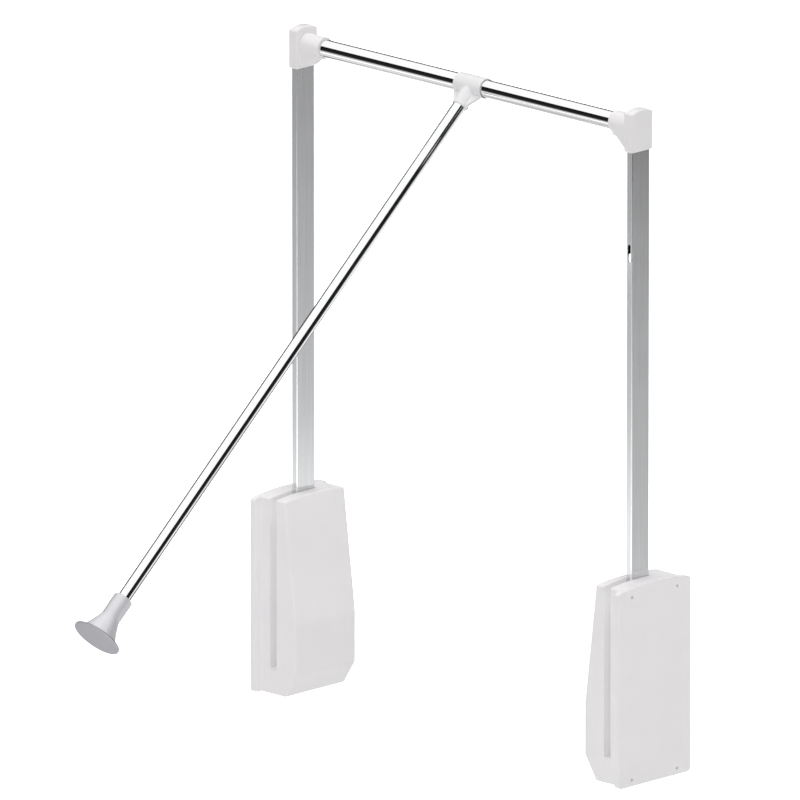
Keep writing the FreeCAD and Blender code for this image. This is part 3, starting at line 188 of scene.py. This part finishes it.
# ---- springs and retaining rings ----------------------------------------------------------------
# Each housing holds two compression springs, coiled from drawn and oiled spring steel wire, between
# its carriage and the channel's upper tab. The carriage squeezes them as the arm swings down. The
# axle's retaining rings are the same steel, darker than the plated pieces.
DRAW_MARK = 0.00167          # size of the marks that drawing left on the wire
SPRING_TURNS = 18
SPRING_WIRE_R = 0.0011
SPRING_SEAT_GAP = 0.00005    # of the coil to what it sits on
TURN_STEPS = 32
WIRE_SIDES = 12

spring_steel, tree, shader, drawn = mottled("spring_steel_oiled", DRAW_MARK, 3.0, "#5C5D60", "#7C7D80")
bump = add(tree, "Bump", {"Strength": 0.2, "Distance": 0.00003, "Height": drawn})
feed(shader, {"Metallic": 1.0, "Roughness": 0.32, "Normal": bump.outputs["Normal"]})
give(spring_steel, *both("axle_rings"))


def coil(middle, low, high, turn_r, first):
    """Points and faces of one coiled wire from low to high. Its points are numbered from first on."""
    steps = SPRING_TURNS * TURN_STEPS
    up = Vector((0.0, 0.0, 1.0))
    points, faces = [], []
    for step in range(steps + 1):
        turn = 2.0 * math.pi * step / TURN_STEPS
        out = Vector((math.cos(turn), math.sin(turn), 0.0))
        centre = Vector((middle.x, middle.y, low + (high - low) * step / steps)) + out * turn_r
        for side in range(WIRE_SIDES):
            around = 2.0 * math.pi * side / WIRE_SIDES
            points.append(centre + (out * math.cos(around) + up * math.sin(around)) * SPRING_WIRE_R)
    for step in range(steps):
        ring = first + step * WIRE_SIDES
        for side in range(WIRE_SIDES):
            here, beside = ring + side, ring + (side + 1) % WIRE_SIDES
            faces.append((here, here + WIRE_SIDES, beside + WIRE_SIDES, beside))
    last = first + steps * WIRE_SIDES
    faces.append([first + side for side in range(WIRE_SIDES)])
    faces.append([last + side for side in reversed(range(WIRE_SIDES))])
    return points, faces


def coil_springs(side):
    """The two springs of one housing, squeezed upwards by its carriage."""
    low, high = [Vector(corner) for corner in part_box("return_springs_" + side)]
    outer_r = (high.x - low.x) / 2.0
    inset = SPRING_WIRE_R + SPRING_SEAT_GAP
    points, faces = [], []
    for y in (low.y + outer_r, high.y - outer_r):
        middle = Vector((low.x + outer_r, y, 0.0))
        more_points, more_faces = coil(middle, low.z + inset, high.z - inset, outer_r - SPRING_WIRE_R,
                                       len(points))
        points += more_points
        faces += more_faces
    mesh = bpy.data.meshes.new("coil_springs_" + side)
    mesh.from_pydata(points, [], faces)
    mesh.shade_smooth()
    mesh.materials.append(spring_steel)
    springs = bpy.data.objects.new("coil_springs_" + side, mesh)
    bpy.context.scene.collection.objects.link(springs)
    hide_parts("return_springs_" + side)
    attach(springs, side + "_housing")
    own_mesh(springs)


for side in ("left", "right"):
    coil_springs(side)


# ---- gear, rack, bushes and glides --------------------------------------------------------------
# Acetal mouldings in their natural milky white, waxy and slightly uneven. The gear is keyed on the
# axle and drives the rack, and the others are what the axle, the rotor and the rail run in.
MILKINESS = 0.00833          # patches of milkier acetal

acetal, tree, shader, milk = mottled("acetal_moulded_natural", MILKINESS, 3.0, "#DDDAD0", "#EBE8DF")
gloss = add(tree, "MapRange", {"Value": milk, "To Min": 0.26, "To Max": 0.4})
feed(shader, {"Roughness": gloss.outputs["Result"], "IOR": 1.48})
give(acetal, "rail_guide_bush", "rail_end_glide", "rail_fixed_sleeve",
     *both("drive_gear", "rack_carriage", "pivot_bushes", "damper_rotor"))


# ---- damper cups and rubber stops ---------------------------------------------------------------
# The damper's cup and lid are black glass filled nylon, with a dull fibrous skin, and are screwed to
# the channel. The stops are moulded rubber, darker still and without any shine.
FIBRE = 0.00111              # size of the specks of glass fibre, drawn coarser than the real ones
RUBBER_SKIN = 0.00143        # size of the unevenness in the rubber's skin

nylon, tree, shader, fibre = mottled("nylon_glass_filled_black", FIBRE, 4.0, "#1B1B1D", "#2C2C2F")
bump = add(tree, "Bump", {"Strength": 0.4, "Distance": 0.00005, "Height": fibre})
feed(shader, {"Roughness": 0.5, "Normal": bump.outputs["Normal"]})
give(nylon, *both("damper_body", "damper_lid"))

rubber, tree, shader, _ = mottled("rubber_moulded_black", RUBBER_SKIN, 2.0, "#161616", "#242424")
feed(shader, {"Roughness": 0.8})
give(rubber, *both("stop_buffers"))


# ---- swing arms ---------------------------------------------------------------------------------
# Flat steel tube, brushed along its length and satin nickel plated: bright, with a soft streaky
# sheen. A die cast block is riveted into the lower end to carry the axle.
BRUSH_ACROSS = 0.0007        # spacing of the brush lines, drawn coarser than the real 0.1 mm
BRUSH_ALONG = 0.12           # length of the brush lines
CAST_SKIN = 0.00286          # size of the unevenness in the casting's skin

satin_nickel, tree, shader = new_material("steel_brushed_satin_nickel")
place = add(tree, "TexCoord").outputs["Object"]
stretch = add(tree, "Mapping", {"Vector": place, "Scale": (1.0 / BRUSH_ACROSS, 1.0 / BRUSH_ACROSS,
                                                           1.0 / BRUSH_ALONG)})
brush = add(tree, "TexNoise", {"Vector": stretch.outputs["Vector"], "Scale": 1.0, "Detail": 3.0})
cloud = add(tree, "TexNoise", {"Vector": place, "Scale": 1.0 / CLOUD, "Detail": 3.0})
tint = add(tree, "ValToRGB", {"Fac": brush.outputs["Fac"]})
for stop, share, code in zip(tint.color_ramp.elements, MOST, ("#D4D5D7", "#E2E3E4")):
    stop.position = share
    stop.color = linear(code)
gloss = add(tree, "MapRange", {"Value": cloud.outputs["Fac"], "From Min": MOST[0], "From Max": MOST[1],
                               "To Min": 0.13, "To Max": 0.18})
bump = add(tree, "Bump", {"Strength": 0.1, "Distance": 0.00003, "Height": brush.outputs["Fac"]})
feed(shader, {"Base Color": tint.outputs["Color"], "Metallic": 1.0, "Roughness": gloss.outputs["Result"],
              "Normal": bump.outputs["Normal"]})
give(satin_nickel, *both("swing_arm"))

die_cast, tree, shader, skin = mottled("zinc_alloy_die_cast", CAST_SKIN, 4.0, "#8E9093", "#A9ABAD")
bump = add(tree, "Bump", {"Strength": 0.3, "Distance": 0.00006, "Height": skin})
feed(shader, {"Metallic": 1.0, "Roughness": 0.45, "Normal": bump.outputs["Normal"]})
give(die_cast, *both("arm_insert"))


# ---- corner caps and T --------------------------------------------------------------------------
# Solid white ABS mouldings from polished tools, screwed to the tubes from behind: smoother and a
# little glossier than the housings.
# Their edges too get a painted highlight, the second colour.
cap_abs = moulded_plastic("white_abs_polished", "#E1DFE0", "#E6E5E5", 0.33, 0.00002)
give(cap_abs, *both("corner_cap"))
tee_abs = moulded_plastic("bright_white_abs_polished", "#DEDDDE", "#E4E4E4", 0.33, 0.00002)
give(tee_abs, "t_connector")


# ---- rail and pull rod --------------------------------------------------------------------------
# Thin steel tubes, polished and bright chromed. The plating mirrors the room with faint polishing
# lines round the tube and a few soft smears.
POLISH = 0.0012              # spacing of the polishing lines, drawn coarser than the real ones
SMEAR = 0.03                 # size of the smears
SMEARED = (0.35, 0.75)       # between these their noise goes from clean to smeared
RAIL_AXIS = (1.0, 0.0, 0.0)
ROD_TILT = math.radians(41.6)    # below the horizontal, at rest
ROD_AXIS = (0.0, -math.cos(ROD_TILT), -math.sin(ROD_TILT))


def chrome(name, axis):
    """Bright chrome on a tube along that axis, with its polishing lines round it."""
    material, tree, shader = new_material(name)
    place = add(tree, "TexCoord").outputs["Object"]
    along = add(tree, "VectorMath", {0: place, 1: axis}, operation="DOT_PRODUCT")
    lines = add(tree, "TexNoise", {"W": along.outputs["Value"], "Scale": 1.0 / POLISH, "Detail": 3.0},
                noise_dimensions="1D")
    smear = add(tree, "TexNoise", {"Vector": place, "Scale": 1.0 / SMEAR, "Detail": 4.0})
    gloss = add(tree, "MapRange", {"Value": smear.outputs["Fac"], "From Min": SMEARED[0],
                                   "From Max": SMEARED[1], "To Min": 0.035, "To Max": 0.1})
    tint = add(tree, "ValToRGB", {"Fac": lines.outputs["Fac"]})
    tint.color_ramp.elements[0].color = linear("#F1F1F2")
    tint.color_ramp.elements[1].color = linear("#F8F8F8")
    bump = add(tree, "Bump", {"Strength": 0.05, "Distance": 0.00002, "Height": lines.outputs["Fac"]})
    feed(shader, {"Base Color": tint.outputs["Color"], "Metallic": 1.0, "Roughness": gloss.outputs["Result"],
                  "Normal": bump.outputs["Normal"]})
    return material


rail_chrome = chrome("steel_bright_chromed_rail", RAIL_AXIS)
give(rail_chrome, "rail_tube_left", "rail_tube_right", "rail_tube_inner")
rod_chrome = chrome("steel_bright_chromed_rod", ROD_AXIS)
give(rod_chrome, "pull_rod")


# ---- knob ---------------------------------------------------------------------------------------
# Trumpet-shaped ABS moulding in satin silver lacquer, pushed on to the rod and screwed from behind.
# The flake in the lacquer makes it metallic, with a soft bright line along the neck. Its end disc is
# painted a darker grey: painted shade on the face that turns down, away from the light.
FLAKE = 0.0012               # size of the lacquer's flake, drawn much coarser than the real one
SHADED_DISC = 0.0025                # thickness of the end disc that gets the painted shade
SHADED_DISC_BLUR = 0.0003           # in which the disc's painted shade fades in

knob_end = max(Vector(ROD_AXIS).dot(vertex.co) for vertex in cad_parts["pull_knob"].data.vertices)
lacquer, tree, shader = new_material("abs_lacquered_satin_silver")
place = add(tree, "TexCoord").outputs["Object"]
along = add(tree, "VectorMath", {0: place, 1: ROD_AXIS}, operation="DOT_PRODUCT")
# Painted shade: the end disc is mixed to a darker grey.
disc_shade = add(tree, "MapRange", {"Value": along.outputs["Value"], "From Min": knob_end - SHADED_DISC - SHADED_DISC_BLUR,
                              "From Max": knob_end - SHADED_DISC})
flake = add(tree, "TexVoronoi", {"Vector": place, "Scale": 1.0 / FLAKE}).outputs["Distance"]
cloud = add(tree, "TexNoise", {"Vector": place, "Scale": 1.0 / CLOUD, "Detail": 3.0})
horn = add(tree, "Mix", {"Factor": flake, "A": linear("#DEDEE1"), "B": linear("#D5D5D9")}, data_type="RGBA")
tint = add(tree, "Mix", {"Factor": disc_shade.outputs["Result"], "A": horn.outputs["Result"],
                         "B": linear("#A3A3A8")}, data_type="RGBA")
gloss = add(tree, "MapRange", {"Value": cloud.outputs["Fac"], "From Min": MOST[0], "From Max": MOST[1],
                               "To Min": 0.5, "To Max": 0.55})
bump = add(tree, "Bump", {"Strength": 0.1, "Distance": 0.00003, "Height": flake})
feed(shader, {"Base Color": tint.outputs["Result"], "Metallic": 0.7, "Roughness": gloss.outputs["Result"],
              "Normal": bump.outputs["Normal"]})
give(lacquer, "pull_knob")


# ---- floor --------------------------------------------------------------------------------------
# White painted floor under the object, which hangs high enough over it for the rod when the arms are
# down. It glows a little where the camera sees it, to stay plain white, and gives back less light
# than real paint, so that the object isn't washed out from below.
WHITE = (1.0, 1.0, 1.0, 1.0)
FLOOR_DROP = 0.7
FLOOR_HALF = 30.0
GLOW_NEAR = (0.4, 0.2)       # distance and glow of the floor under the object, where its shadow falls
GLOW_FAR = (0.95, 0.75)      # and further away


def wide_square(name, finish, drop):
    """Level square that far below the object, and the empty node tree of its finish."""
    height = cad_box[0][2] - drop
    corners = [(x * FLOOR_HALF, y * FLOOR_HALF, height) for x, y in ((-1, -1), (1, -1), (1, 1), (-1, 1))]
    mesh = bpy.data.meshes.new(name)
    mesh.from_pydata(corners, [], [(0, 1, 2, 3)])
    square = bpy.data.objects.new(name, mesh)
    bpy.context.scene.collection.objects.link(square)
    material = bpy.data.materials.new(finish)
    material.use_nodes = True
    material.node_tree.nodes.clear()
    mesh.materials.append(material)
    return square, material.node_tree


def flat_place(tree):
    """Place seen from above, and its distance from the middle of the room."""
    place = add(tree, "TexCoord").outputs["Object"]
    flat = add(tree, "VectorMath", {0: place, 1: (1.0, 1.0, 0.0)}, operation="MULTIPLY").outputs["Vector"]
    return flat, add(tree, "VectorMath", {0: flat}, operation="LENGTH").outputs["Value"]


_, tree = wide_square("floor_white_paint", "white_floor_paint", FLOOR_DROP)
flat, distance = flat_place(tree)
path = add(tree, "LightPath")
paint = add(tree, "BsdfDiffuse", {"Color": linear("#F4F4F4")})
bounce = add(tree, "BsdfDiffuse", {"Color": linear("#C4C4C4")})
glow = add(tree, "MapRange", {"Value": distance, "From Min": GLOW_NEAR[0], "From Max": GLOW_FAR[0],
                              "To Min": GLOW_NEAR[1], "To Max": GLOW_FAR[1]})
lift = add(tree, "Emission", {"Color": WHITE, "Strength": glow.outputs["Result"]})
seen = add(tree, "AddShader", {0: paint.outputs["BSDF"], 1: lift.outputs["Emission"]})
by_camera = add(tree, "MixShader", {"Fac": path.outputs["Is Camera Ray"], 1: bounce.outputs["BSDF"],
                                    2: seen.outputs["Shader"]})
add(tree, "OutputMaterial", {"Surface": by_camera.outputs["Shader"]})


# ---- mirrored table -----------------------------------------------------------------------------
# Glowing sheet, no lamp and no real table, that only reflections show, and only from above, so what
# metal mirrors of it is painted reflection: a bright ring round the object that falls off to black towards
# the horizon, a brighter lane towards the camera's side and a shade at the back right. It lies above the
# floor, so that metal mirrors it from close by.
TABLE_DROP = 0.36
RAMP_REACH = 10.0            # no distance below is longer
CAMERA_SIDE = (math.sqrt(0.5), -math.sqrt(0.5), 0.0)
BACK_RIGHT = (math.sqrt(0.5), math.sqrt(0.5), 0.0)
# Distance from the middle and the table's glow there.
MIRROR_RING = ((0.8, 0.55), (1.0, 0.8), (1.6, 0.8), (1.9, 1.6), (2.15, 1.25), (2.7, 0.68), (4.7, 0.48),
               (5.6, 0.03))
# Distance towards the camera's side and how many times brighter the table is there, down to its edge.
FRONT_LANE = ((2.3, 2.6), (2.85, 3.4), (3.15, 1.5), (3.5, 1.25), (4.32, 1.3), (4.38, 0.03))
FRONT_LANE_SIDES = (0.55, 0.8)       # cosine of the angle off its middle, where it begins and is full
# The same towards the back right.
BACK_SHADE = ((0.4, 1.0), (0.8, 0.25), (1.45, 0.25), (1.75, 1.0))


def by_distance(tree, value, stops):
    """Level that follows a distance through the stops, joined by straight lines."""
    share = add(tree, "MapRange", {"Value": value, "From Min": 0.0, "From Max": RAMP_REACH})
    ramp = add(tree, "ValToRGB", {"Fac": share.outputs["Result"]})
    most = max(level for _, level in stops)
    for reach, level in stops:
        stop = ramp.color_ramp.elements.new(reach / RAMP_REACH)
        stop.color = (level / most, level / most, level / most, 1.0)
    ramp.color_ramp.elements[0].color = ramp.color_ramp.elements[1].color
    ramp.color_ramp.elements[-1].color = ramp.color_ramp.elements[-2].color
    return add(tree, "Math", {0: ramp.outputs["Color"], 1: most}, operation="MULTIPLY").outputs["Value"]


table, tree = wide_square("mirrored_table", "glowing_reflection_sheet", TABLE_DROP)
table.visible_camera = False
table.visible_diffuse = False
table.visible_transmission = False
table.visible_shadow = False
flat, distance = flat_place(tree)
frontwards = add(tree, "VectorMath", {0: flat, 1: CAMERA_SIDE}, operation="DOT_PRODUCT").outputs["Value"]
backwards = add(tree, "VectorMath", {0: flat, 1: BACK_RIGHT}, operation="DOT_PRODUCT").outputs["Value"]
off_middle = add(tree, "Math", {0: frontwards, 1: distance}, operation="DIVIDE")
in_lane = add(tree, "MapRange", {"Value": off_middle.outputs["Value"], "From Min": FRONT_LANE_SIDES[0],
                                 "From Max": FRONT_LANE_SIDES[1]})
lane = add(tree, "Mix", {"Factor": in_lane.outputs["Result"], "A": 1.0,
                         "B": by_distance(tree, frontwards, FRONT_LANE)}, data_type="FLOAT")
shade = add(tree, "Math", {0: by_distance(tree, backwards, BACK_SHADE), 1: lane.outputs["Result"]},
            operation="MULTIPLY")
level = add(tree, "Math", {0: by_distance(tree, distance, MIRROR_RING), 1: shade.outputs["Value"]},
            operation="MULTIPLY")
# Painted reflection: this sheet glows though it is no lamp, and only reflections show it.
mirrored = add(tree, "Emission", {"Color": WHITE, "Strength": level.outputs["Value"]})
clear = add(tree, "BsdfTransparent")
from_below = add(tree, "NewGeometry").outputs["Backfacing"]
surface = add(tree, "MixShader", {"Fac": from_below, 1: mirrored.outputs["Emission"],
                                  2: clear.outputs["BSDF"]})
add(tree, "OutputMaterial", {"Surface": surface.outputs["Shader"]})


# ---- white room ---------------------------------------------------------------------------------
# White walls that give plain soft light from all round. Reflections show them as a dark wall under a
# white ceiling instead, which gives the chrome its black line.
ROOM_LIGHT = 0.34
WALL_TOP = 0.423             # sine of the height angle where the dark wall ends
WALL_BLUR = 0.015            # of that edge, each way
RIGHT_RISE = 0.18            # how much higher it stands on the right
LEFT_RISE = 0.5              # and at the far left, beyond LEFT_FROM
LEFT_FROM = 0.65
WALL_GLOW = 0.012
CEILING_GLOW = 1.08

world = bpy.data.worlds.new("white_room")
bpy.context.scene.world = world
world.use_nodes = True
tree = world.node_tree
tree.nodes.clear()
path = add(tree, "LightPath")
direction = add(tree, "SeparateXYZ", {"Vector": add(tree, "TexCoord").outputs["Generated"]})
right = add(tree, "Math", {0: direction.outputs["X"], 1: 0.0}, operation="MAXIMUM")
right_top = add(tree, "Math", {0: right.outputs["Value"], 1: RIGHT_RISE, 2: WALL_TOP},
                operation="MULTIPLY_ADD")
left = add(tree, "Math", {0: direction.outputs["X"], 1: -1.0, 2: -LEFT_FROM}, operation="MULTIPLY_ADD")
far_left = add(tree, "Math", {0: left.outputs["Value"], 1: 0.0}, operation="MAXIMUM")
wall_top = add(tree, "Math", {0: far_left.outputs["Value"], 1: LEFT_RISE, 2: right_top.outputs["Value"]},
               operation="MULTIPLY_ADD")
above = add(tree, "Math", {0: direction.outputs["Z"], 1: wall_top.outputs["Value"]}, operation="SUBTRACT")
wall = add(tree, "MapRange", {"Value": above.outputs["Value"], "From Min": -WALL_BLUR, "From Max": WALL_BLUR,
                              "To Min": WALL_GLOW, "To Max": CEILING_GLOW})
soft = add(tree, "Background", {"Color": WHITE, "Strength": ROOM_LIGHT})
mirrored = add(tree, "Background", {"Color": WHITE, "Strength": wall.outputs["Result"]})
seen = add(tree, "Background", {"Color": WHITE, "Strength": 1.0})
glossy = add(tree, "MixShader", {"Fac": path.outputs["Is Glossy Ray"], 1: soft.outputs["Background"],
                                 2: mirrored.outputs["Background"]})
camera_sees = add(tree, "MixShader", {"Fac": path.outputs["Is Camera Ray"], 1: glossy.outputs["Shader"],
                                      2: seen.outputs["Background"]})
add(tree, "OutputWorld", {"Surface": camera_sees.outputs["Shader"]})


# ---- lamps --------------------------------------------------------------------------------------
# A ring of wide lamps lights all sides and the insides of the slots evenly, without shadows, and one
# lamp overhead lights the tops and casts the shadow. Reflections show the room, not the lamps.
RING_LAMPS = 8
RING_STRENGTH = 0.83
RING_ELEVATION = -12.0       # a little from below, which also lights undersides and chamfers
OVERHEAD_STRENGTH = 2.6
LAMP_ANGLE = 50.0            # how wide each lamp looks from the object, for soft shadows


def outwards(azimuth, elevation):
    """Direction from the object towards a lamp or the camera. Azimuth 0 is the front, 90 the right."""
    turn, rise = math.radians(azimuth), math.radians(elevation)
    return Vector((math.sin(turn) * math.cos(rise), -math.cos(turn) * math.cos(rise), math.sin(rise)))


def lamp(name, azimuth, elevation, strength, shadow):
    """Wide soft lamp that shines at the object from that direction."""
    light = bpy.data.lights.new(name, "SUN")
    light.energy = strength
    light.angle = math.radians(LAMP_ANGLE)
    light.use_shadow = shadow
    holder = bpy.data.objects.new(name, light)
    bpy.context.scene.collection.objects.link(holder)
    holder.rotation_euler = (-outwards(azimuth, elevation)).to_track_quat("-Z", "Y").to_euler()
    holder.visible_glossy = False


for i in range(RING_LAMPS):
    lamp(f"ring_lamp_{i + 1}", 360.0 * i / RING_LAMPS, RING_ELEVATION, RING_STRENGTH, False)
lamp("overhead_lamp", 0.0, 90.0, OVERHEAD_STRENGTH, True)


# ---- camera -------------------------------------------------------------------------------------
# A very long lens a long way off, so that parallel edges stay parallel. It looks from the right front,
# a little from above.
AZIMUTH = 45.0
ELEVATION = 15.0
LENS_MM = 1600.0
SENSOR_MM = 36.0
VIEW_WIDTH = 1.0             # of the picture, at the object
VIEW_MIDDLE = Vector((0.2021, 0.0, 0.2792))
CAMERA_REACH = 200.0

camera = bpy.data.cameras.new("camera")
camera.lens = LENS_MM
camera.sensor_width = SENSOR_MM
camera.clip_end = CAMERA_REACH
holder = bpy.data.objects.new("camera", camera)
bpy.context.scene.collection.objects.link(holder)
back = outwards(AZIMUTH, ELEVATION)
holder.location = VIEW_MIDDLE + back * (VIEW_WIDTH * LENS_MM / SENSOR_MM)
holder.rotation_euler = (-back).to_track_quat("-Z", "Y").to_euler()
bpy.context.scene.camera = holder
bpy.context.scene.view_settings.view_transform = "Standard"
